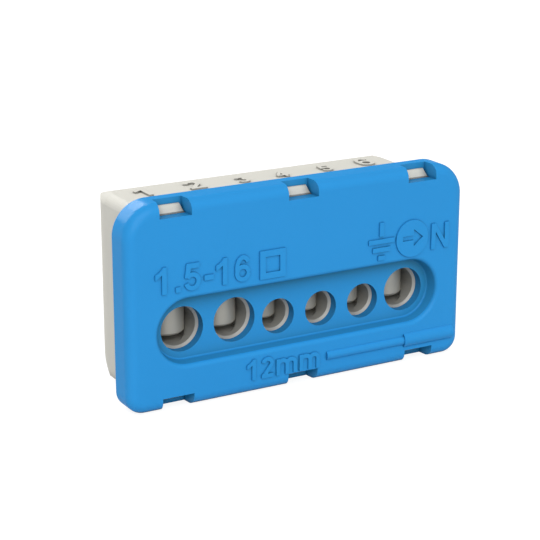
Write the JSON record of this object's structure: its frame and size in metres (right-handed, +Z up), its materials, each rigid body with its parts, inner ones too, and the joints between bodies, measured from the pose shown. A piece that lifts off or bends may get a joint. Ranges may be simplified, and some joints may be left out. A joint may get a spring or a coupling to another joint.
{
  "type": "terminal block",
  "caption": "Screw terminal block with a blue clip-fit cover, a recessed row of round wire entries, a pale housing, a plated bar inside and a clamp screw over each entry.",
  "frame": {"origin": "middle of the base, under the middle of the bounding box", "axes": "+Z up, the wire entries face -Y, +X along the row of entries"},
  "size_m": [0.0494, 0.02, 0.0267],
  "materials": {
    "housing_plastic": "moulded off-white, fine matt",
    "cover_plastic": "moulded sky blue, satin",
    "plated_metal": "tin-plated, satin",
    "screw_steel": "zinc-plated, satin"
  },
  "bodies": {
    "block": {"housing": "housing_plastic", "terminal_bar": "plated_metal", "front_cover": "cover_plastic"},
    "screw_1": {"clamp_screw_1": "screw_steel"},
    "screw_2": {"clamp_screw_2": "screw_steel"},
    "screw_3": {"clamp_screw_3": "screw_steel"},
    "screw_4": {"clamp_screw_4": "screw_steel"},
    "screw_5": {"clamp_screw_5": "screw_steel"},
    "screw_6": {"clamp_screw_6": "screw_steel"}
  },
  "joints": [
    {"name": "screw_1_travel", "type": "slide", "parent": "block", "child": "screw_1", "axis": [0, 0, 1], "range_m": [-0.0009, 0.0044]},
    {"name": "screw_2_travel", "type": "slide", "parent": "block", "child": "screw_2", "axis": [0, 0, 1], "range_m": [-0.0009, 0.0044]},
    {"name": "screw_3_travel", "type": "slide", "parent": "block", "child": "screw_3", "axis": [0, 0, 1], "range_m": [-0.00075, 0.00335]},
    {"name": "screw_4_travel", "type": "slide", "parent": "block", "child": "screw_4", "axis": [0, 0, 1], "range_m": [-0.00075, 0.00335]},
    {"name": "screw_5_travel", "type": "slide", "parent": "block", "child": "screw_5", "axis": [0, 0, 1], "range_m": [-0.00075, 0.00335]},
    {"name": "screw_6_travel", "type": "slide", "parent": "block", "child": "screw_6", "axis": [0, 0, 1], "range_m": [-0.0009, 0.0044]}
  ]
}
